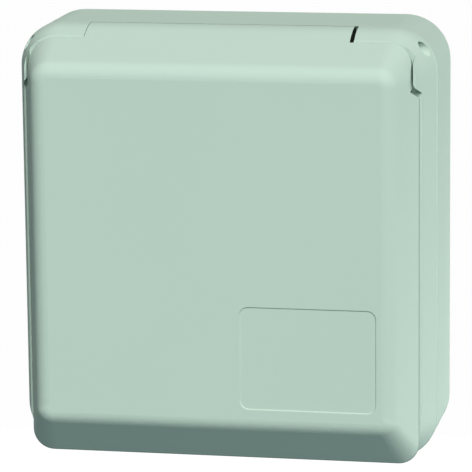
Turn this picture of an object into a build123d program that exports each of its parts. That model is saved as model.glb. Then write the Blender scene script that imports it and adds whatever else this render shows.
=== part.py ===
from build123d import *
from math import radians, sin, sqrt, tan
import os

# Wall-mounted industrial socket: a rear housing on the wall, a front frame with a five-pole
# socket, and a sprung lid over the whole front. X is to the right, Z up and Y into the wall.
# The origin is the centre of the back face. A reach is a distance from the wall to the front,
# so a point lies at Y = -reach.

# Rear housing
housing_width = 170.0
housing_height = 176.2
housing_corner_r = 18.0
housing_wall = 3.0
housing_edge_r = 0.6
overall_depth = 73.3
frame_depth = 13.7

# Drafted form that the frame and the lid share, with the frame a little proud at the sides
seam_step = 0.4
side_slope = 0.3615
frame_side_slope = 0.3045
top_draft = 23.5
top_roll_r = 20.0
corner_taper = 0.324

# Front frame
frame_wall = 3.0
panel_thickness = 3.0
spigot_length = 7.7
spigot_wall = 2.2
spigot_clearance = 0.3
seal_thickness = 2.0
ledge_width = 4.5
ledge_thickness = 3.0

# Lid
lid_depth = 20.6
lid_gap = 0.4
shoulder_gap = 0.9
lid_wall = 2.5
lid_edge_r = 7.0
lid_inner_edge_r = 4.0
lid_lip_rise = 1.6
lid_bottom_slope = 0.874
lid_bottom_corner_r = 8.5
lid_bottom_taper = 0.12
nest_side_depth = 13.05
nest_top_depth = 20.0
nest_corner_r = 9.0
notch_below_hinge = 14.45
notch_width = 6.0
notch_height = 8.6
notch_gap = 2.4
notch_undercut = 3.0
nose_depth = 5.8
label_width = 54.9
label_height = 41.9
label_corner_r = 3.7
label_recess = 0.4
label_from_right = 6.8
label_from_bottom = 7.2

# Hinge
hinge_ahead_of_seam = 4.55
hinge_below_top = 7.9
hinge_sweep_r = 9.3
hinge_clearance = 0.3
shoulder_width_left = 29.4
shoulder_width_right = 31.5
hinge_gap_left = 0.3
hinge_gap_right = 1.5
hinge_end_wall = 2.5
trough_wall = 2.2
pin_r = 3.0
pin_end_inset = 13.0
pin_seat_clearance = 0.02
pin_running_clearance = 0.05
pin_boss_wall = 3.0
lug_r = 6.2
lug_length = 6.0
spring_wire_r = 0.5
spring_clearance = 0.25
spring_pitch = 1.15
spring_turns = 5
spring_leg = 8.0
spring_x = 10.0

# Socket
socket_z = -4.0
flange_size = 84.0
flange_margin = 5.0
collar_wall = 4.0
collar_lid_gap = 1.5
collar_edge = 1.0
socket_well_depth = 36.5
sleeve_floor = 5.0
keyway_width = 8.5
keyway_depth = 2.4
flange_corner_r = 9.0
flange_thickness = 3.2
gasket_thickness = 1.0
opening_clearance = 0.5
plug_gap = 6.1
carrier_recess = 5.0
carrier_clearance = 0.3
carrier_edge = 1.0
carrier_lip = 1.6
carrier_lip_depth = 1.5
base_thickness = 3.5
lid_seal_gap = 0.1
seal_overhang = 0.8
seal_inner_margin = 0.4
seal_groove_depth = 0.6
seal_groove_gap = 0.2

# Contacts
contact_margin = 9.4
contact_face_web = 3.5
line_bore_r = 2.55
earth_bore_r = 3.55
contact_wall = 1.45
contact_clearance = 0.05
pin_entry_clearance = 0.8
contact_bore_depth = 34.0
terminal_room = 5.3
terminal_margin = 1.0
terminal_end_wall = 5.0
wire_hole_r = 2.3
terminal_screw_r = 1.9
terminal_screw_length = 4.5
terminal_screw_slot = 0.9

# Screws
screw_r = 2.0
screw_fit = 0.02
screw_hole_clearance = 0.3
screw_head_r = 3.8
screw_head_height = 2.4
screw_head_clearance = 0.4
screw_head_sunk = 1.6
screw_head_edge_share = 0.33
screw_cross_length_share = 1.2
screw_cross_width_share = 0.3
screw_end_gap = 1.0
frame_screw_depth = 13.6
frame_screw_grip = 13.0
post_r = 6.0
tower_margin = 1.5
post_from_side = 17.0
post_from_top = 33.1
post_from_bottom = 20.1
socket_screw_inset = 7.0
socket_boss_r = 4.5
socket_boss_height = 9.0
carrier_screw_r = 1.5
carrier_screw_head_r = 2.8
carrier_screw_head = 2.0
carrier_screw_grip = 4.0
carrier_screw_count = 3

# Wall fixing and cable entry
wall_hole_r = 3.0
wall_hole_from_side = 30.0
wall_hole_from_top = 23.1
wall_pad_r = 7.0
wall_pad_height = 2.0
grommet_room = 0.85
grommet_clearance = 0.1
grommet_flange_margin = 2.6
grommet_flange = 2.0
grommet_lip_margin = 1.4
grommet_lip = 1.5
grommet_membrane = 1.0
grommet_wall = 1.6

# Places worked out from the sizes above
half_width = housing_width / 2
half_height = housing_height / 2
housing_depth = overall_depth - lid_depth - frame_depth
roll_length = top_roll_r * sin(radians(top_draft))
lid_rim = overall_depth - lid_depth
frame_front = lid_rim - lid_gap
panel_back = frame_front - panel_thickness
hinge_reach = housing_depth + hinge_ahead_of_seam
hinge_z = half_height - hinge_below_top
opening_left = shoulder_width_left - half_width
opening_right = half_width - shoulder_width_right
section_left = opening_left + hinge_gap_left
section_right = opening_right - hinge_gap_right
trough_r = hinge_sweep_r + hinge_clearance
nose_r = hinge_sweep_r - lid_gap
spigot_end = housing_depth - spigot_length
ledge_front = spigot_end - seal_thickness
ledge_back = ledge_front - ledge_thickness
lid_inner_face = overall_depth - lid_wall
collar_front = lid_inner_face - collar_lid_gap
collar_r = flange_size / 2 - flange_margin
collar_bore_r = collar_r - collar_wall
carrier_r = collar_bore_r - plug_gap
contact_circle_r = carrier_r - contact_margin
well_floor = collar_front - socket_well_depth
sleeve_back = well_floor - sleeve_floor
carrier_front = collar_front - carrier_recess
base_back = sleeve_back - base_thickness
flange_back = frame_front + gasket_thickness
flange_front = flange_back + flange_thickness
contact_front = carrier_front - contact_face_web
terminal_back = housing_wall + terminal_room
post_top = frame_front - frame_screw_depth
post_x = half_width - post_from_side
post_top_z = half_height - post_from_top
post_bottom_z = post_from_bottom - half_height
wall_hole_x = half_width - wall_hole_from_side
wall_hole_z = half_height - wall_hole_from_top
grommet_reach = (housing_wall + ledge_back) / 2
grommet_lip_r = (ledge_back - housing_wall) / 2 - grommet_room
grommet_neck_r = grommet_lip_r - grommet_lip_margin
grommet_flange_r = grommet_neck_r + grommet_flange_margin
beyond = overall_depth + housing_width


def at(reach):
    """Plane that faces the front, at a distance from the wall."""
    return Plane.XZ.offset(reach)


def prism(sketch, near, far):
    """Solid of a front-view sketch between two reaches."""
    return extrude(at(near) * sketch, far - near)


def rod(radius, x, z, near, far):
    """Cylinder along Y between two reaches."""
    return prism(Pos(x, z) * Circle(radius), near, far)


def ring(outer_r, inner_r, z, near, far):
    """Tube along Y on the middle line, between two reaches."""
    return prism(Pos(0, z) * (Circle(outer_r) - Circle(inner_r)), near, far)


def block(x_from, x_to, near, far, z_from, z_to):
    """Box between two X, two reaches and two Z."""
    centre = Pos((x_from + x_to) / 2, (z_from + z_to) / 2)
    return prism(centre * Rectangle(x_to - x_from, z_to - z_from), near, far)


def about_hinge(radius, x_from, x_to):
    """Cylinder on the hinge axis between two X."""
    place = Location((x_from, -hinge_reach, hinge_z), (0, 90, 0))
    align = (Align.CENTER, Align.CENTER, Align.MIN)
    return place * Cylinder(radius, x_to - x_from, align=align)


def outline(half, top, bottom, top_r, bottom_r):
    """Front-view rectangle with its own radius at the top and at the bottom corners."""
    shape = Pos(0, (top + bottom) / 2) * Rectangle(2 * half, top - bottom)
    shape = fillet(shape.vertices().sort_by(Axis.Y)[-2:], top_r)
    return fillet(shape.vertices().sort_by(Axis.Y)[:2], bottom_r)


def housing_outline(inset):
    """Outline of the rear housing, drawn in by an inset."""
    corner_r = housing_corner_r - inset
    edge = half_height - inset
    return outline(half_width - inset, edge, -edge, corner_r, corner_r)


def form_half(reach):
    """Half the width of the drafted form."""
    return half_width - seam_step - side_slope * (reach - housing_depth)


def frame_half(reach):
    """Half the width of the frame, which leaves a ledge beside the lid's rim."""
    return half_width - seam_step - frame_side_slope * (reach - housing_depth)


def form_top(reach):
    """Height of the drafted top, which rolls over to meet the housing's top wall."""
    ahead = reach - housing_depth
    rolled = min(ahead, roll_length)
    drop = top_roll_r - sqrt(top_roll_r**2 - rolled**2)
    return half_height - drop - tan(radians(top_draft)) * (ahead - rolled)


def form_corner(reach):
    """Corner radius of the drafted form."""
    return housing_corner_r - seam_step - corner_taper * (reach - housing_depth)


def frame_bottom(reach):
    """Height of the frame's drafted bottom."""
    return seam_step + side_slope * (reach - housing_depth) - half_height


def lid_bottom(reach):
    """Height of the lid's bottom bevel, which flares to a finger lip at the rim."""
    return lid_lip_rise - half_height + lid_bottom_slope * (reach - lid_rim)


def lid_bottom_corner(reach):
    """Corner radius at the bottom of the lid."""
    return lid_bottom_corner_r - lid_bottom_taper * (reach - lid_rim)


def frame_section(reach, inset):
    """Front-view section of the frame's form, drawn in by an inset."""
    corner_r = form_corner(reach) - inset
    top = form_top(reach) - inset
    bottom = frame_bottom(reach) + inset
    return outline(frame_half(reach) - inset, top, bottom, corner_r, corner_r)


def lid_section(reach, inset):
    """Front-view section of the lid's form, drawn in by an inset."""
    top = form_top(reach) - inset
    bottom = lid_bottom(reach) + inset
    top_r = form_corner(reach) - inset
    bottom_r = lid_bottom_corner(reach) - inset
    return outline(form_half(reach) - inset, top, bottom, top_r, bottom_r)


def nest(side_gap, top_gap, notch_shift):
    """Front-view outline between the shoulders, with square corners and a notch at each side."""
    side = form_half(overall_depth - nest_side_depth) + side_gap
    top = form_top(overall_depth - nest_top_depth) + top_gap
    wide = side + notch_width
    notch_top = hinge_z - notch_below_hinge + notch_shift
    notch_bottom = notch_top - notch_height
    right = [(wide, -beyond), (wide, notch_bottom), (side, notch_top), (side, top)]
    left = [(-x, z) for x, z in reversed(right)]
    return make_face(Polyline(*right, *left, close=True))


def lid_nest(inset):
    """Front-view outline of the lid between the shoulders, drawn in by an inset."""
    shape = nest(-inset, -inset, 0)
    return fillet(shape.vertices().sort_by(Axis.Y)[-2:], nest_corner_r - inset)


def notch_wedge():
    """Wedge behind the lid's slanted edge at the right notch, which leaves that edge sharp."""
    side_reach = overall_depth - nest_side_depth
    corner = Vector(form_half(side_reach), -side_reach, hinge_z - notch_below_hinge)
    out = form_half(lid_rim) - corner.X
    along = Vector(out, side_reach - lid_rim, -out * notch_height / notch_width)
    slant = Vector(notch_height, 0, notch_width).normalized()
    deep = corner + Vector(0, side_reach - lid_rim, 0)
    wedge = make_face(Polyline(corner, deep, deep - slant * notch_undercut, close=True))
    return extrude(wedge, along.length, along)


def screw(length, shank_r, head_r, head_height):
    """Pan-head screw with its seat at the origin, its head towards +Z and a cross slot."""
    down = (Align.CENTER, Align.CENTER, Align.MAX)
    up = (Align.CENTER, Align.CENTER, Align.MIN)
    head = Cylinder(head_r, head_height, align=up)
    head = fillet(head.edges().sort_by(Axis.Z)[-1], screw_head_edge_share * head_height)
    slot_length = screw_cross_length_share * head_r
    slot_width = screw_cross_width_share * head_r
    slot = Pos(0, 0, head_height) * Box(slot_length, slot_width, head_height)
    cross = slot + Rot(0, 0, 90) * slot
    return head + Cylinder(shank_r, length, align=down) - cross


def screws(places, reach, length, shank_r, head_r, head_height):
    """Identical screws driven towards the wall, with their seats at one reach."""
    one = screw(length, shank_r, head_r, head_height)
    return Compound(children=[at(reach) * Pos(x, z) * one for x, z in places])


# Rear housing: an open box with posts for the frame screws, pads at the wall holes,
# a ledge for the seal and a hole for the cable grommet.
frame_screw_places = [(x, z) for x in (-post_x, post_x) for z in (post_bottom_z, post_top_z)]
wall_hole_places = [
    (x, z)
    for x in (-wall_hole_x, wall_hole_x)
    for z in (-wall_hole_z, wall_hole_z)
]
rear_housing = prism(housing_outline(0), 0, housing_depth)
rear_housing = fillet(rear_housing.faces().sort_by(Axis.Y)[0].edges(), housing_edge_r)
rear_housing -= prism(housing_outline(housing_wall), housing_wall, beyond)
ledge = housing_outline(housing_wall) - housing_outline(housing_wall + ledge_width)
rear_housing += prism(ledge, ledge_back, ledge_front)
for x, z in frame_screw_places:
    rear_housing += rod(post_r, x, z, housing_wall, post_top)
    rear_housing -= rod(screw_r + screw_fit, x, z, post_top - frame_screw_grip, beyond)
for x, z in wall_hole_places:
    rear_housing += rod(wall_pad_r, x, z, housing_wall, housing_wall + wall_pad_height)
    rear_housing -= rod(wall_hole_r, x, z, 0, housing_wall + wall_pad_height)
entry = Cylinder(grommet_neck_r + grommet_clearance, 4 * housing_wall)
rear_housing -= Pos(0, -grommet_reach, -half_height) * entry
rear_housing -= about_hinge(trough_r, opening_left, opening_right)

# Housing seal: a rubber ring between the ledge and the end of the frame's spigot.
seal_inset = housing_wall + spigot_clearance
seal_profile = housing_outline(seal_inset) - housing_outline(seal_inset + spigot_wall)
housing_seal = prism(seal_profile, ledge_front, spigot_end)

# Front frame: the drafted form in front of the seam, hollow behind its panel, with a spigot
# in the housing, a trough under the hinge and shoulders that hold the hinge pin.
roll_steps = 4
form_reaches = [housing_depth + roll_length * step / roll_steps for step in range(roll_steps + 1)]
form_reaches += [frame_front, overall_depth - nest_side_depth]
frame_form = loft([at(reach) * frame_section(reach, 0) for reach in form_reaches])
front_frame = frame_form - prism(nest(shoulder_gap, lid_gap, notch_gap), frame_front, beyond)
front_frame -= block(-beyond, beyond, frame_front + nose_depth, beyond, -beyond, beyond)

spigot_inset = seal_inset + spigot_wall
cavity = loft(
    [
        at(housing_depth) * housing_outline(spigot_inset),
        at(panel_back) * frame_section(panel_back, frame_wall),
    ],
    ruled=True,
)
trough_left = opening_left - hinge_end_wall
trough_right = opening_right + hinge_end_wall
trough_body = about_hinge(trough_r + trough_wall, trough_left, trough_right)
pin_bosses = about_hinge(pin_r + pin_boss_wall, -half_width, half_width)
socket_screw_at = flange_size / 2 - socket_screw_inset
socket_screw_places = [
    (x, z)
    for x in (-socket_screw_at, socket_screw_at)
    for z in (socket_z - socket_screw_at, socket_z + socket_screw_at)
]
cavity -= trough_body
cavity -= pin_bosses
for x, z in frame_screw_places:
    cavity -= rod(post_r + tower_margin, x, z, post_top, frame_front)
for x, z in socket_screw_places:
    cavity -= rod(socket_boss_r, x, z, panel_back - socket_boss_height, frame_front)
front_frame -= cavity

spigot = prism(seal_profile, spigot_end, housing_depth)
trough_behind = trough_body & prism(housing_outline(seal_inset), spigot_end, housing_depth)
front_frame = front_frame + spigot + trough_behind
front_frame -= about_hinge(trough_r, opening_left, opening_right)
front_frame -= block(opening_left, opening_right, housing_depth, beyond, hinge_z, beyond)
nest_half = form_half(overall_depth - nest_side_depth) + shoulder_gap
nose_clearance = block(-nest_half, nest_half, hinge_reach, beyond, hinge_z, beyond)
front_frame -= nose_clearance - about_hinge(nose_r, -nest_half, nest_half)
front_frame -= about_hinge(pin_r + pin_seat_clearance, -half_width, half_width)
front_frame -= rod(collar_r + opening_clearance, 0, socket_z, housing_depth, beyond)
head_seat = frame_front - screw_head_sunk - screw_head_height
for x, z in frame_screw_places:
    front_frame -= rod(screw_r + screw_hole_clearance, x, z, 0, beyond)
    front_frame -= rod(screw_head_r + screw_head_clearance, x, z, head_seat, beyond)
for x, z in socket_screw_places:
    front_frame -= rod(screw_r + screw_fit, x, z, panel_back - socket_boss_height, beyond)

frame_screws = screws(
    frame_screw_places,
    head_seat,
    head_seat - post_top + frame_screw_grip - screw_end_gap,
    screw_r,
    screw_head_r,
    screw_head_height,
)

# Hinge pin: a steel pin seated in both shoulders, on which the lid's lugs turn.
hinge_pin = about_hinge(pin_r, pin_end_inset - half_width, half_width - pin_end_inset)

# Lid spring: a torsion spring round the pin, with one leg on the trough and one on the lid.
coil_r = pin_r + spring_clearance + spring_wire_r
coil_turns = spring_turns + (180 + top_draft) / 360
coil_path = Helix(spring_pitch, spring_pitch * coil_turns, coil_r)
coil_start = Plane(coil_path @ 0, z_dir=coil_path % 0)
coil_end = Plane(coil_path @ 1, z_dir=coil_path % 1)
coil = sweep(coil_start * Circle(spring_wire_r), coil_path, is_frenet=True)
coil += extrude(coil_start * Circle(spring_wire_r), -spring_leg)
coil += extrude(coil_end * Circle(spring_wire_r), spring_leg)
lid_spring = Location((spring_x, -hinge_reach, hinge_z), (0, 90, 0)) * coil

# Lid: a moulded pan with a rounded front, bevelled sides and a flared finger lip. Its middle
# rolls over the hinge and carries two lugs on the pin.
lid_form = loft(
    [
        at(lid_rim) * lid_section(lid_rim, 0),
        at(overall_depth) * lid_section(overall_depth, 0),
    ],
    ruled=True,
)
lid_form = fillet(lid_form.faces().sort_by(Axis.Y)[0].edges(), lid_edge_r)
lid = lid_form & prism(lid_nest(0), 0, beyond)
hollow = loft(
    [
        at(lid_rim) * lid_section(lid_rim, lid_wall),
        at(lid_inner_face) * lid_section(lid_inner_face, lid_wall),
    ],
    ruled=True,
)
hollow = fillet(hollow.faces().sort_by(Axis.Y)[0].edges(), lid_inner_edge_r)
lid -= hollow & prism(lid_nest(lid_wall), 0, beyond)
lid -= about_hinge(trough_r, -half_width, half_width)
lid -= notch_wedge() + mirror(notch_wedge(), Plane.YZ)

flat_end = housing_depth + roll_length
section_front = lid_rim + lid_wall
section_back = hinge_reach - hinge_sweep_r


def hinge_profile(inset):
    """Side view of the space under the rolled top, lowered by an inset, down to the axis."""
    roll_middle = housing_depth + top_roll_r * sin(radians(top_draft / 2))
    front_edge = (-section_front, form_top(section_front) - inset)
    roll_start = (-flat_end, form_top(flat_end) - inset)
    roll_end = (-housing_depth, half_height - inset)
    flat = Line(front_edge, roll_start)
    roll = ThreePointArc(roll_start, (-roll_middle, form_top(roll_middle) - inset), roll_end)
    back = Polyline(
        roll_end,
        (-section_back, half_height - inset),
        (-section_back, hinge_z),
        (-section_front, hinge_z),
        front_edge,
    )
    return make_face(Wire([*flat.edges(), *roll.edges(), *back.edges()]))


ahead_of_axis = block(-beyond, beyond, hinge_reach, beyond, -beyond, beyond)
turned = about_hinge(hinge_sweep_r, -beyond, beyond) + ahead_of_axis
turned_inside = about_hinge(hinge_sweep_r - lid_wall, -beyond, beyond) + ahead_of_axis
section_end = Plane.YZ.offset(section_left)
section_outside = extrude(section_end * hinge_profile(0), section_right - section_left)
section_inside = extrude(section_end * hinge_profile(lid_wall), section_right - section_left)
lid += (section_outside & turned) - (section_inside & turned_inside)
lid += about_hinge(lug_r, section_left, section_left + lug_length)
lid += about_hinge(lug_r, section_right - lug_length, section_right)
lid -= about_hinge(pin_r + pin_running_clearance, -half_width, half_width)

seal_outer_r = collar_r + seal_overhang
seal_inner_r = collar_bore_r + seal_inner_margin
groove_front = lid_inner_face + seal_groove_depth
groove_outer_r = seal_outer_r + seal_groove_gap
groove_inner_r = seal_inner_r - seal_groove_gap
lid -= ring(groove_outer_r, groove_inner_r, socket_z, lid_inner_face, groove_front)
label_x = form_half(overall_depth) - label_from_right - label_width / 2
label_z = lid_bottom(overall_depth) + label_from_bottom + label_height / 2
label_floor = RectangleRounded(
    label_width - 2 * label_recess, label_height - 2 * label_recess, label_corner_r - label_recess
)
label_edge = RectangleRounded(label_width, label_height, label_corner_r)
lid -= loft(
    [
        at(overall_depth - label_recess) * Pos(label_x, label_z) * label_floor,
        at(overall_depth) * Pos(label_x, label_z) * label_edge,
    ],
    ruled=True,
)

# Lid seal: a flat rubber ring in a groove in the lid, over the edge of the collar.
seal_back = collar_front + lid_seal_gap
lid_seal = ring(seal_outer_r, seal_inner_r, socket_z, seal_back, groove_front)

# Socket sleeve: a round collar with a keyway, a square flange and a floor for the carrier.
flange = Pos(0, socket_z) * RectangleRounded(flange_size, flange_size, flange_corner_r)
socket_sleeve = prism(flange, flange_back, flange_front)
socket_sleeve += rod(collar_r, 0, socket_z, sleeve_back, collar_front)
socket_sleeve = fillet(socket_sleeve.faces().sort_by(Axis.Y)[0].edges(), collar_edge)
socket_sleeve -= rod(collar_bore_r, 0, socket_z, well_floor, beyond)
socket_sleeve -= rod(carrier_r + carrier_clearance, 0, socket_z, 0, beyond)
lip_seat_r = carrier_r + carrier_lip + carrier_clearance
socket_sleeve -= rod(lip_seat_r, 0, socket_z, 0, sleeve_back + carrier_lip_depth)
keyway = Pos(0, socket_z - collar_bore_r) * Rectangle(keyway_width, 2 * keyway_depth)
socket_sleeve -= prism(keyway, well_floor, beyond)
for x, z in socket_screw_places:
    socket_sleeve -= rod(screw_r + screw_hole_clearance, x, z, 0, beyond)
carrier_screw_circle = (carrier_r + collar_r) / 2
carrier_screw_places = [
    (place.position.X, socket_z + place.position.Y)
    for place in PolarLocations(carrier_screw_circle, carrier_screw_count, start_angle=90)
]
for x, z in carrier_screw_places:
    hole_end = sleeve_back + carrier_screw_grip
    socket_sleeve -= rod(carrier_screw_r + screw_fit, x, z, sleeve_back, hole_end)

# Socket gasket: a flat gasket behind the flange.
gasket_profile = flange - Pos(0, socket_z) * Circle(collar_r + opening_clearance)
socket_gasket = prism(gasket_profile, frame_front, flange_back)
for x, z in socket_screw_places:
    socket_gasket -= rod(screw_r + screw_hole_clearance, x, z, 0, beyond)

socket_screws = screws(
    socket_screw_places,
    flange_front,
    flange_front - panel_back + socket_boss_height - screw_end_gap,
    screw_r,
    screw_head_r,
    screw_head_height,
)

# Contacts: brass sleeves with a square terminal block, earth at the bottom and wider.
# Each is made pointing to the front, with its terminal screw facing away from the middle.
contact_names = [
    "contact_earth",
    "contact_line_1",
    "contact_line_2",
    "contact_line_3",
    "contact_neutral",
]
contact_places = PolarLocations(contact_circle_r, len(contact_names), start_angle=-90)
terminal_middle = (base_back + terminal_back) / 2
terminal_screw_tip = wire_hole_r / 2


def contact(bore_r):
    """One contact on the origin's front-view axis, its screw hole towards +X."""
    outer_r = bore_r + contact_wall
    side = 2 * (outer_r + terminal_margin)
    body = rod(outer_r, 0, 0, base_back, contact_front)
    body += prism(Rectangle(side, side), terminal_back, base_back)
    body -= rod(bore_r, 0, 0, contact_front - contact_bore_depth, beyond)
    body -= rod(wire_hole_r, 0, 0, 0, base_back - terminal_end_wall)
    return body - terminal_screw_rod(terminal_screw_r + screw_fit, terminal_screw_tip, side)


def terminal_screw_rod(radius, x_from, x_to):
    """Cylinder along X through the middle of a terminal block."""
    align = (Align.CENTER, Align.CENTER, Align.MIN)
    place = Location((x_from, -terminal_middle, 0), (0, 90, 0))
    return place * Cylinder(radius, x_to - x_from, align=align)


def terminal_screw():
    """Slotted headless screw that reaches into the wire hole."""
    end = terminal_screw_tip + terminal_screw_length
    slot = Box(2 * terminal_screw_slot, terminal_screw_slot, 3 * terminal_screw_r)
    body = terminal_screw_rod(terminal_screw_r, terminal_screw_tip, end)
    return body - Pos(end, -terminal_middle, 0) * slot


def on_circle(shape, place):
    """Move a contact piece from the origin's axis to its place round the socket."""
    angle = place.orientation.Z
    spot = place.position
    return Pos(spot.X, 0, socket_z + spot.Y) * Rot(0, -angle, 0) * shape


contacts = {}
contact_holes = []
terminal_screw_list = []
for name, place in zip(contact_names, contact_places):
    bore_r = earth_bore_r if name == "contact_earth" else line_bore_r
    contacts[name] = on_circle(contact(bore_r), place)
    terminal_screw_list.append(on_circle(terminal_screw(), place))
    contact_holes.append((place.position, bore_r))
terminal_screws = Compound(children=terminal_screw_list)

# Contact carrier: an insulating insert, held by its lip between the sleeve and a base plate
# that is screwed to the back of the sleeve.
contact_carrier = rod(carrier_r, 0, socket_z, sleeve_back, carrier_front)
contact_carrier = chamfer(contact_carrier.faces().sort_by(Axis.Y)[0].edges(), carrier_edge)
lip_front = sleeve_back + carrier_lip_depth
contact_carrier += rod(carrier_r + carrier_lip, 0, socket_z, sleeve_back, lip_front)
carrier_base = rod(collar_r, 0, socket_z, base_back, sleeve_back)
for spot, bore_r in contact_holes:
    tube = rod(bore_r + contact_wall + contact_clearance, spot.X, socket_z + spot.Y, 0, contact_front)
    contact_carrier -= tube
    contact_carrier -= rod(bore_r + pin_entry_clearance, spot.X, socket_z + spot.Y, 0, beyond)
    carrier_base -= tube
for x, z in carrier_screw_places:
    carrier_base -= rod(carrier_screw_r + screw_hole_clearance, x, z, 0, sleeve_back)

carrier_screw_length = base_thickness + carrier_screw_grip - screw_end_gap
carrier_screw = Rot(180, 0, 0) * screw(
    carrier_screw_length, carrier_screw_r, carrier_screw_head_r, carrier_screw_head
)
carrier_screws = Compound(
    children=[at(base_back) * Pos(x, z) * carrier_screw for x, z in carrier_screw_places]
)

# Cable grommet: a rubber cup with a closed membrane, held by its flange and lip.
wall_top = housing_wall
lip_top = wall_top + grommet_lip
cup_r = grommet_neck_r - grommet_wall
grommet_profile = Polyline(
    (0, 0),
    (0, -grommet_membrane),
    (cup_r, -grommet_flange),
    (grommet_flange_r, -grommet_flange),
    (grommet_flange_r, 0),
    (grommet_neck_r, 0),
    (grommet_neck_r, wall_top),
    (grommet_lip_r, wall_top),
    (grommet_neck_r, lip_top),
    (cup_r, lip_top),
    (cup_r, 0),
    close=True,
)
grommet_solid = revolve(Plane.XZ * make_face(grommet_profile), Axis.Z)
cable_grommet = Pos(0, -grommet_reach, -half_height) * grommet_solid

nodes = {
    "rear_housing": rear_housing,
    "housing_seal": housing_seal,
    "front_frame": front_frame,
    "frame_screws": frame_screws,
    "hinge_pin": hinge_pin,
    "lid_spring": lid_spring,
    "lid": lid,
    "lid_seal": lid_seal,
    "socket_sleeve": socket_sleeve,
    "socket_gasket": socket_gasket,
    "socket_screws": socket_screws,
    "contact_carrier": contact_carrier,
    "carrier_base": carrier_base,
    "carrier_screws": carrier_screws,
    **contacts,
    "terminal_screws": terminal_screws,
    "cable_grommet": cable_grommet,
}
os.makedirs("parts", exist_ok=True)
for name, shape in nodes.items():
    export_step(shape, f"parts/{name}.step")
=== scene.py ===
from math import cos, pi, radians, sin

import bpy
from mathutils import Matrix, Vector

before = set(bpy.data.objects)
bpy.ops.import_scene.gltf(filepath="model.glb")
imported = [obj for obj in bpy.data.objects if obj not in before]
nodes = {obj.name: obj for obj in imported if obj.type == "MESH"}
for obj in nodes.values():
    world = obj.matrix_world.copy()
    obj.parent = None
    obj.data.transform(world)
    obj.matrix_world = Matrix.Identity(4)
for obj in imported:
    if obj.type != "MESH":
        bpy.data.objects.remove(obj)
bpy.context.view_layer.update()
scene = bpy.context.scene
scene.view_settings.view_transform = "Standard"

# Studio: a plain pale floor well below the box, which hangs as it would on its wall. The
# floor is clear from below. A soft key comes from the upper right, with weaker lamps beyond
# the right side, low on the right and behind. The surround looks white and gives no light.
floor_z = -0.34
floor_size = 14.0
floor_white, floor_bounce = (0.95, 0.95, 0.95, 1), (0.235, 0.3, 0.325, 1)
floor_glow = 0.92
key_azimuth, key_elevation = radians(20.0), radians(42.5)
key_spread, key_strength = radians(40.0), 4.1
side_place, side_aim = Vector((0.8, 0.7, -0.2)), Vector((0.085, -0.03, 0.0))
side_size, side_strength = 0.45, 2.9
low_place, low_aim = Vector((0.4, 0.15, -0.3)), Vector((0.085, -0.03, -0.07))
low_size, low_strength = 0.25, 1.75
back_place, back_aim = Vector((-0.05, 0.95, -0.25)), Vector((0.0, 0.0, 0.0))
back_size, back_strength = 0.5, 3.6


def plug(tree, value, socket):
    """Link an output to an input socket, or set the socket to a plain value."""
    if isinstance(value, bpy.types.NodeSocket):
        tree.links.new(value, socket)
    else:
        socket.default_value = value


def add_node(tree, kind, **values):
    """Add a node and fill its inputs by name, with spaces written as underscores."""
    made = tree.nodes.new(kind)
    for name, value in values.items():
        plug(tree, value, made.inputs[name.replace("_", " ")])
    return made


def calc(tree, operation, *terms):
    """Output of a math node on sockets or plain numbers."""
    made = tree.nodes.new("ShaderNodeMath")
    made.operation = operation
    for term, socket in zip(terms, made.inputs):
        plug(tree, term, socket)
    return made.outputs[0]


def mix_shaders(tree, share, first, second):
    """A mix of two shaders, which shows the second where the share is 1."""
    made = tree.nodes.new("ShaderNodeMixShader")
    plug(tree, share, made.inputs[0])
    plug(tree, first.outputs[0], made.inputs[1])
    plug(tree, second.outputs[0], made.inputs[2])
    return made


def seen_directly(tree):
    """Mask of the rays that come from the camera, a mirror or glass."""
    path = tree.nodes.new("ShaderNodeLightPath").outputs
    mirrored = calc(tree, "MAXIMUM", path["Is Camera Ray"], path["Is Glossy Ray"])
    return calc(tree, "MAXIMUM", mirrored, path["Is Transmission Ray"])


world = bpy.data.worlds.new("Studio surround")
scene.world = world
world.use_nodes = True
tree = world.node_tree
tree.nodes.clear()
dark = add_node(tree, "ShaderNodeBackground", Color=(0, 0, 0, 1))
white = add_node(tree, "ShaderNodeBackground", Color=(1, 1, 1, 1), Strength=1.0)
surround = mix_shaders(tree, seen_directly(tree), dark, white)
add_node(tree, "ShaderNodeOutputWorld", Surface=surround.outputs[0])

floor_paper = bpy.data.materials.new("Floor paper")
floor_paper.use_nodes = True
tree = floor_paper.node_tree
tree.nodes.clear()
seen = seen_directly(tree)
tint = add_node(tree, "ShaderNodeMixRGB", Fac=seen, Color1=floor_bounce, Color2=floor_white)
matt = add_node(tree, "ShaderNodeBsdfDiffuse", Color=tint.outputs["Color"])
glow = add_node(tree, "ShaderNodeEmission", Color=(1, 1, 1, 1), Strength=1.0)
paper = mix_shaders(tree, calc(tree, "MULTIPLY", seen, floor_glow), matt, glow)
clear = tree.nodes.new("ShaderNodeBsdfTransparent")
from_below = tree.nodes.new("ShaderNodeNewGeometry").outputs["Backfacing"]
one_sided = mix_shaders(tree, from_below, paper, clear)
add_node(tree, "ShaderNodeOutputMaterial", Surface=one_sided.outputs[0])

bpy.ops.mesh.primitive_plane_add(size=floor_size, location=(0, 0, floor_z))
floor = bpy.context.object
floor.name = "floor"
floor.data.materials.append(floor_paper)

key_light = bpy.data.objects.new("key_light", bpy.data.lights.new("key_light", "SUN"))
key_light.data.energy = key_strength
key_light.data.angle = key_spread
key_light.rotation_euler = (pi / 2 - key_elevation, 0, key_azimuth)
scene.collection.objects.link(key_light)


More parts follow.
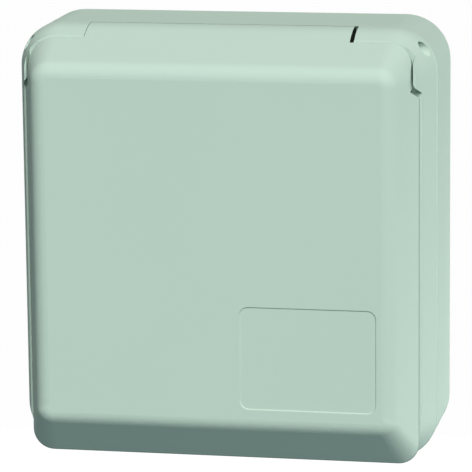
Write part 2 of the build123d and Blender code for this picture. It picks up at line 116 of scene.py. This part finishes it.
def add_lamp(name, place, aim, size, strength):
    """Soft square lamp that the camera doesn't see."""
    lamp = bpy.data.objects.new(name, bpy.data.lights.new(name, "AREA"))
    lamp.data.size = size
    lamp.data.energy = strength
    lamp.location = place
    lamp.rotation_euler = (aim - place).to_track_quat("-Z", "Y").to_euler()
    lamp.visible_camera = False
    scene.collection.objects.link(lamp)


add_lamp("side_light", side_place, side_aim, side_size, side_strength)
add_lamp("low_light", low_place, low_aim, low_size, low_strength)
add_lamp("back_light", back_place, back_aim, back_size, back_strength)

# Camera: stands to the right of the box and above it, as in the photograph.
camera_place = Vector((0.2551, -1.3135, 0.26795))
camera_yaw, camera_pitch, camera_roll = radians(11.19), radians(11.57), radians(-0.59)
photo_width = 472
focal_pixels = 3280.2
sensor_width = 36.0
level = Vector((cos(camera_yaw), sin(camera_yaw), 0))
outward = Vector((sin(camera_yaw), -cos(camera_yaw), 0))
back = outward * cos(camera_pitch) + Vector((0, 0, sin(camera_pitch)))
upright = back.cross(level)
right = level * cos(camera_roll) + upright * sin(camera_roll)
up = upright * cos(camera_roll) - level * sin(camera_roll)
camera = bpy.data.objects.new("camera", bpy.data.cameras.new("camera"))
camera.data.sensor_width = sensor_width
camera.data.lens = focal_pixels * sensor_width / photo_width
camera.matrix_world = Matrix.Translation(camera_place) @ Matrix((right, up, back)).transposed().to_4x4()
scene.collection.objects.link(camera)
scene.camera = camera

# Rear housing: the box that is screwed to the wall, injection moulded in pale grey-green
# thermoplastic. Its mould was spark eroded, which leaves a fine satin grain on every face.
shell_colour = (0.455, 0.582, 0.5, 1)
shell_grain = 1500.0
grain_depth = 0.0001
finish_outputs = [
    ("Colour", "NodeSocketColor"),
    ("Roughness", "NodeSocketFloat"),
    ("Height", "NodeSocketFloat"),
]


def make_group(name, inputs, outputs):
    """A shader node group, with the sockets that it is given and those of its result."""
    group = bpy.data.node_groups.new(name, "ShaderNodeTree")
    for label, kind, value in inputs:
        socket = group.interface.new_socket(label, in_out="INPUT", socket_type=kind)
        socket.default_value = value
    for label, kind in outputs:
        group.interface.new_socket(label, in_out="OUTPUT", socket_type=kind)
    given = group.nodes.new("NodeGroupInput").outputs
    result = group.nodes.new("NodeGroupOutput").inputs
    return group, given, result


def place_on_piece(group):
    """Position on the piece, in metres of the shared frame at rest."""
    return group.nodes.new("ShaderNodeTexCoord").outputs["Object"]


def scale_colour(group, colour, factor):
    """A colour times a number."""
    made = group.nodes.new("ShaderNodeVectorMath")
    made.operation = "SCALE"
    plug(group, colour, made.inputs[0])
    plug(group, factor, made.inputs["Scale"])
    return made.outputs[0]


def moulded_skin_group():
    """Fine eroded grain, with slow drifts of tone and gloss from the flow of the melt."""
    group, given, result = make_group(
        "Moulded skin",
        [
            ("Colour", "NodeSocketColor", (0.5, 0.5, 0.5, 1)),
            ("Grain Scale", "NodeSocketFloat", 1500.0),
            ("Tone Drift", "NodeSocketFloat", 0.04),
            ("Roughness", "NodeSocketFloat", 0.5),
            ("Gloss Drift", "NodeSocketFloat", 0.1),
        ],
        finish_outputs,
    )
    place = place_on_piece(group)
    grain = add_node(group, "ShaderNodeTexNoise", Vector=place, Detail=3.0, Roughness=0.6)
    plug(group, given["Grain Scale"], grain.inputs["Scale"])
    flow = add_node(group, "ShaderNodeTexNoise", Vector=place, Scale=11.0, Detail=2.0)
    drift = calc(group, "SUBTRACT", flow.outputs["Fac"], 0.5)
    tone = calc(group, "MULTIPLY_ADD", drift, given["Tone Drift"], 1.0)
    gloss = calc(group, "MULTIPLY_ADD", drift, given["Gloss Drift"], given["Roughness"])
    plug(group, scale_colour(group, given["Colour"], tone), result["Colour"])
    plug(group, gloss, result["Roughness"])
    plug(group, grain.outputs["Fac"], result["Height"])
    return group


moulded_skin = moulded_skin_group()


def add_group(tree, group, settings):
    """Place a node group in a material, with its own values and links."""
    made = tree.nodes.new("ShaderNodeGroup")
    made.node_tree = group
    for label, value in settings.items():
        plug(tree, value, made.inputs[label])
    return made


def surface(name, group, settings, bump_strength, **principled):
    """A material whose colour, roughness and bump come from a group, with plain shader settings."""
    made = bpy.data.materials.new(name)
    made.use_nodes = True
    tree = made.node_tree
    shader = tree.nodes["Principled BSDF"]
    for label, value in principled.items():
        shader.inputs[label.replace("_", " ")].default_value = value
    finish = add_group(tree, group, settings).outputs
    bump = add_node(tree, "ShaderNodeBump", Strength=bump_strength, Distance=grain_depth)
    tree.links.new(finish["Height"], bump.inputs["Height"])
    tree.links.new(finish["Colour"], shader.inputs["Base Color"])
    tree.links.new(finish["Roughness"], shader.inputs["Roughness"])
    tree.links.new(bump.outputs["Normal"], shader.inputs["Normal"])
    return made


def dress(node_name, material):
    """Give a CAD node its finish."""
    mesh = nodes[node_name].data
    mesh.materials.clear()
    mesh.materials.append(material)


shell_plastic = surface(
    "Grey-green moulded plastic",
    moulded_skin,
    {
        "Colour": shell_colour,
        "Grain Scale": shell_grain,
        "Tone Drift": 0.03,
        "Roughness": 0.6,
        "Gloss Drift": 0.08,
    },
    bump_strength=0.12,
    Specular_IOR_Level=0.02,
)
dress("rear_housing", shell_plastic)

# Housing seal: a black rubber ring, cut from extruded cord and laid on the housing's ledge,
# where the front frame's spigot presses on it.
seal_colour = (0.018, 0.018, 0.019, 1)
rubber_gloss = 0.35


def calc_vector(group, operation, first, second):
    """Outputs of a vector math node on two sockets or plain vectors."""
    made = group.nodes.new("ShaderNodeVectorMath")
    made.operation = operation
    plug(group, first, made.inputs[0])
    plug(group, second, made.inputs[1])
    return made.outputs


def rubber_group():
    """Matt rubber with a dusty bloom and fine pores."""
    group, given, result = make_group(
        "Rubber bloom",
        [("Colour", "NodeSocketColor", (0.02, 0.02, 0.02, 1)), ("Bloom", "NodeSocketFloat", 0.04)],
        finish_outputs,
    )
    place = place_on_piece(group)
    dust = add_node(group, "ShaderNodeTexNoise", Vector=place, Scale=180.0, Detail=4.0).outputs["Fac"]
    pores = add_node(group, "ShaderNodeTexNoise", Vector=place, Scale=2200.0, Detail=2.0)
    amount = calc(group, "MULTIPLY", dust, given["Bloom"])
    rim_shaded = calc_vector(group, "ADD", given["Colour"], amount)
    rough = add_node(group, "ShaderNodeMapRange", Value=dust, To_Min=0.7, To_Max=0.88)
    plug(group, rim_shaded["Vector"], result["Colour"])
    plug(group, rough.outputs["Result"], result["Roughness"])
    plug(group, pores.outputs["Fac"], result["Height"])
    return group


rubber_bloom = rubber_group()
seal_rubber = surface(
    "Black seal rubber",
    rubber_bloom,
    {"Colour": seal_colour, "Bloom": 0.02},
    bump_strength=0.2,
    Specular_IOR_Level=rubber_gloss,
)
dress("housing_seal", seal_rubber)

# Front frame: the drafted cover that carries the socket, moulded in the same plastic as the
# housing. Its spigot sits in the housing and four screws hold it to the housing's posts.
dress("front_frame", shell_plastic)

# Frame screws: four pan-head screws, cold headed from steel wire and zinc plated,
# sunk below the face of the frame under the lid.
zinc_colour = (0.56, 0.565, 0.55, 1)


def plated_group():
    """Zinc plating: faint blue and yellow mottling and fine handling scratches."""
    group, given, result = make_group(
        "Zinc plating",
        [("Colour", "NodeSocketColor", (0.6, 0.6, 0.6, 1)), ("Mottle Scale", "NodeSocketFloat", 600.0)],
        finish_outputs,
    )
    place = place_on_piece(group)
    mottle = add_node(group, "ShaderNodeTexNoise", Vector=place, Detail=3.0)
    plug(group, given["Mottle Scale"], mottle.inputs["Scale"])
    scratches = add_node(group, "ShaderNodeTexNoise", Vector=place, Scale=5000.0, Detail=2.0)
    tint = add_node(group, "ShaderNodeValToRGB", Fac=mottle.outputs["Fac"])
    bluish, yellowish = tint.color_ramp.elements
    bluish.position = 0.3
    bluish.color = (0.86, 0.9, 1.0, 1)
    yellowish.position = 0.7
    yellowish.color = (1.0, 0.97, 0.88, 1)
    tinted = calc_vector(group, "MULTIPLY", given["Colour"], tint.outputs["Color"])
    rough = add_node(group, "ShaderNodeMapRange", Value=mottle.outputs["Fac"], To_Min=0.24, To_Max=0.42)
    plug(group, tinted["Vector"], result["Colour"])
    plug(group, rough.outputs["Result"], result["Roughness"])
    plug(group, scratches.outputs["Fac"], result["Height"])
    return group


zinc_steel = surface(
    "Zinc-plated steel",
    plated_group(),
    {"Colour": zinc_colour},
    bump_strength=0.08,
    Metallic=1.0,
)
dress("frame_screws", zinc_steel)

# Hinge pin: a drawn steel rod, pressed through both shoulders of the frame.
# Drawing leaves fine lines along it.
pin_colour = (0.5, 0.5, 0.49, 1)


def drawn_group():
    """Drawn steel: long fine lines along X with slight changes of gloss."""
    group, given, result = make_group(
        "Drawn steel",
        [("Colour", "NodeSocketColor", (0.5, 0.5, 0.5, 1))],
        finish_outputs,
    )
    stretch = add_node(group, "ShaderNodeMapping", Vector=place_on_piece(group), Scale=(40, 4000, 4000))
    noise = add_node(group, "ShaderNodeTexNoise", Vector=stretch.outputs["Vector"], Scale=1.0, Detail=3.0)
    lines = noise.outputs["Fac"]
    tone = add_node(group, "ShaderNodeMapRange", Value=lines, To_Min=0.85, To_Max=1.1)
    rough = add_node(group, "ShaderNodeMapRange", Value=lines, To_Min=0.25, To_Max=0.4)
    plug(group, scale_colour(group, given["Colour"], tone.outputs["Result"]), result["Colour"])
    plug(group, rough.outputs["Result"], result["Roughness"])
    plug(group, lines, result["Height"])
    return group


drawn_steel = drawn_group()
pin_steel = surface(
    "Drawn pin steel",
    drawn_steel,
    {"Colour": pin_colour},
    bump_strength=0.1,
    Metallic=1.0,
)
dress("hinge_pin", pin_steel)

# Lid spring: hard-drawn wire wound on the pin, one leg in the frame's trough and one under
# the lid, so that the lid falls shut.
spring_colour = (0.4, 0.4, 0.4, 1)
spring_steel = surface(
    "Spring wire",
    drawn_steel,
    {"Colour": spring_colour},
    bump_strength=0.05,
    Metallic=1.0,
)
dress("lid_spring", spring_steel)

# Lid: the moulded pan over the whole front, with a bare recess for a label. Two lugs under
# its rolled top turn on the pin. Painted shade darkens a narrow band along its rim, beside the
# ledge of the frame, and painted shade darkens the right end of the roll, at the hinge's gap.
rim_reach, rim_shade_width, rim_shade_top = 0.0527, 0.0008, 0.064
rim_shade_amount = 0.45
hinge_axis = (0.0, -0.04355, 0.0802)
roll_end, roll_shade_radius = 0.0519, 0.0092
roll_shade_amount = 0.94


def dull(group, given, patch):
    """The given colour, darkened by the given amount where the patch is 1."""
    loss = calc(group, "MULTIPLY", patch, given["Amount"])
    return scale_colour(group, given["Colour"], calc(group, "SUBTRACT", 1.0, loss))


def rim_shade_group():
    """Painted shade: darkens a colour in a narrow band along a rim that faces the wall, below a height.
    """
    group, given, result = make_group(
        "Painted rim shade",
        [
            ("Colour", "NodeSocketColor", (0.5, 0.5, 0.5, 1)),
            ("Reach", "NodeSocketFloat", 0.05),
            ("Width", "NodeSocketFloat", 0.001),
            ("Top", "NodeSocketFloat", 0.05),
            ("Amount", "NodeSocketFloat", 0.3),
        ],
        [("Colour", "NodeSocketColor")],
    )
    place = add_node(group, "ShaderNodeSeparateXYZ", Vector=place_on_piece(group)).outputs
    band_front = calc(group, "ADD", given["Reach"], given["Width"])
    behind_front = calc(group, "ADD", place["Y"], band_front)
    near_rim = calc(group, "DIVIDE", behind_front, given["Width"])
    near_rim.node.use_clamp = True
    below_top = calc(group, "LESS_THAN", place["Z"], given["Top"])
    band = calc(group, "MULTIPLY", near_rim, below_top)
    plug(group, dull(group, given, band), result["Colour"])
    return group


def roll_shade_group():
    """Painted shade: darkens a colour beyond a place along X and within a radius of the hinge's axis."""
    group, given, result = make_group(
        "Painted roll shade",
        [
            ("Colour", "NodeSocketColor", (0.5, 0.5, 0.5, 1)),
            ("Axis", "NodeSocketVector", (0, 0, 0)),
            ("Radius", "NodeSocketFloat", 0.01),
            ("End", "NodeSocketFloat", 0.05),
            ("Amount", "NodeSocketFloat", 0.9),
        ],
        [("Colour", "NodeSocketColor")],
    )
    place = place_on_piece(group)
    along = add_node(group, "ShaderNodeSeparateXYZ", Vector=place).outputs["X"]
    across = calc_vector(group, "MULTIPLY", place, (0, 1, 1))["Vector"]
    distance = calc_vector(group, "DISTANCE", across, given["Axis"])["Value"]
    inside = calc(group, "LESS_THAN", distance, given["Radius"])
    beyond = calc(group, "GREATER_THAN", along, given["End"])
    patch = calc(group, "MULTIPLY", inside, beyond)
    plug(group, dull(group, given, patch), result["Colour"])
    return group


lid_plastic = shell_plastic.copy()
lid_plastic.name = "Grey-green lid plastic"
tree = lid_plastic.node_tree
base_colour = tree.nodes["Principled BSDF"].inputs["Base Color"]
# Painted shade along the lid's rim, where the gap to the frame's ledge is dark.
rim_shaded = add_group(
    tree,
    rim_shade_group(),
    {
        "Colour": base_colour.links[0].from_socket,
        "Reach": rim_reach,
        "Width": rim_shade_width,
        "Top": rim_shade_top,
        "Amount": rim_shade_amount,
    },
)
# Painted shade on the right end of the lid's roll, where the gap at the hinge is dark.
roll_shaded = add_group(
    tree,
    roll_shade_group(),
    {
        "Colour": rim_shaded.outputs["Colour"],
        "Axis": hinge_axis,
        "Radius": roll_shade_radius,
        "End": roll_end,
        "Amount": roll_shade_amount,
    },
)
tree.links.new(roll_shaded.outputs["Colour"], base_colour)
dress("lid", lid_plastic)

# Lid seal: a flat ring of black rubber, pressed into a groove inside the lid, which closes
# on the edge of the collar.
dress("lid_seal", seal_rubber)

# Socket sleeve: the collar and flange of the five-pole socket, moulded in the red that such
# sockets have for their voltage.
sleeve_colour = (0.5, 0.022, 0.018, 1)
sleeve_grain = 1800.0
socket_gloss = 0.45
sleeve_plastic = surface(
    "Red moulded plastic",
    moulded_skin,
    {
        "Colour": sleeve_colour,
        "Grain Scale": sleeve_grain,
        "Tone Drift": 0.06,
        "Roughness": 0.42,
        "Gloss Drift": 0.1,
    },
    bump_strength=0.15,
    Specular_IOR_Level=socket_gloss,
)
dress("socket_sleeve", sleeve_plastic)

# Socket gasket: a die-cut rubber sheet between the flange and the frame, squeezed by the
# flange's four screws.
dress("socket_gasket", seal_rubber)

# Socket screws: four more of the zinc-plated screws, which go through the flange and into
# the frame's bosses.
dress("socket_screws", zinc_steel)

# Contact carrier: the insulating insert, moulded in black thermoset with a dull face. A base
# plate of the same stuff clamps its lip, held to the back of the sleeve by three screws.
carrier_colour = (0.02, 0.02, 0.022, 1)
carrier_grain = 1400.0
carrier_plastic = surface(
    "Black moulded insert",
    moulded_skin,
    {
        "Colour": carrier_colour,
        "Grain Scale": carrier_grain,
        "Tone Drift": 0.2,
        "Roughness": 0.5,
        "Gloss Drift": 0.15,
    },
    bump_strength=0.2,
    Specular_IOR_Level=socket_gloss,
)
dress("contact_carrier", carrier_plastic)
dress("carrier_base", carrier_plastic)
dress("carrier_screws", zinc_steel)

# Contacts: turned brass sleeves with a square terminal block each, held in the carrier.
# Turning leaves fine rings, and handling leaves a light tarnish.
brass_colour = (0.68, 0.46, 0.17, 1)


def turned_group():
    """Turned brass: fine rings along Y and a light tarnish."""
    group, given, result = make_group(
        "Turned brass",
        [("Colour", "NodeSocketColor", (0.7, 0.5, 0.2, 1)), ("Tarnish", "NodeSocketFloat", 0.25)],
        finish_outputs,
    )
    place = place_on_piece(group)
    stretch = add_node(group, "ShaderNodeMapping", Vector=place, Scale=(30, 6000, 30))
    rings = add_node(group, "ShaderNodeTexNoise", Vector=stretch.outputs["Vector"], Scale=1.0, Detail=2.0)
    stain = add_node(group, "ShaderNodeTexNoise", Vector=place, Scale=260.0, Detail=3.0).outputs["Fac"]
    tarnish = calc(group, "MULTIPLY", stain, given["Tarnish"])
    tone = add_node(group, "ShaderNodeMapRange", Value=tarnish, To_Min=1.0, To_Max=0.4)
    rough = add_node(group, "ShaderNodeMapRange", Value=stain, To_Min=0.2, To_Max=0.4)
    plug(group, scale_colour(group, given["Colour"], tone.outputs["Result"]), result["Colour"])
    plug(group, rough.outputs["Result"], result["Roughness"])
    plug(group, rings.outputs["Fac"], result["Height"])
    return group


turned_brass = surface(
    "Turned brass",
    turned_group(),
    {"Colour": brass_colour},
    bump_strength=0.12,
    Metallic=1.0,
)
for contact in ("contact_earth", "contact_line_1", "contact_line_2", "contact_line_3", "contact_neutral"):
    dress(contact, turned_brass)

# Terminal screws: slotted headless screws, zinc plated, one in each terminal block, which
# clamp the cable's cores.
dress("terminal_screws", zinc_steel)

# Cable grommet: a soft rubber cup pushed into the hole in the bottom wall. Its thin membrane
# is cut open when a cable is fitted.
grommet_colour = (0.075, 0.08, 0.08, 1)
grommet_rubber = surface(
    "Grey grommet rubber",
    rubber_bloom,
    {"Colour": grommet_colour, "Bloom": 0.03},
    bump_strength=0.2,
    Specular_IOR_Level=rubber_gloss,
)
dress("cable_grommet", grommet_rubber)
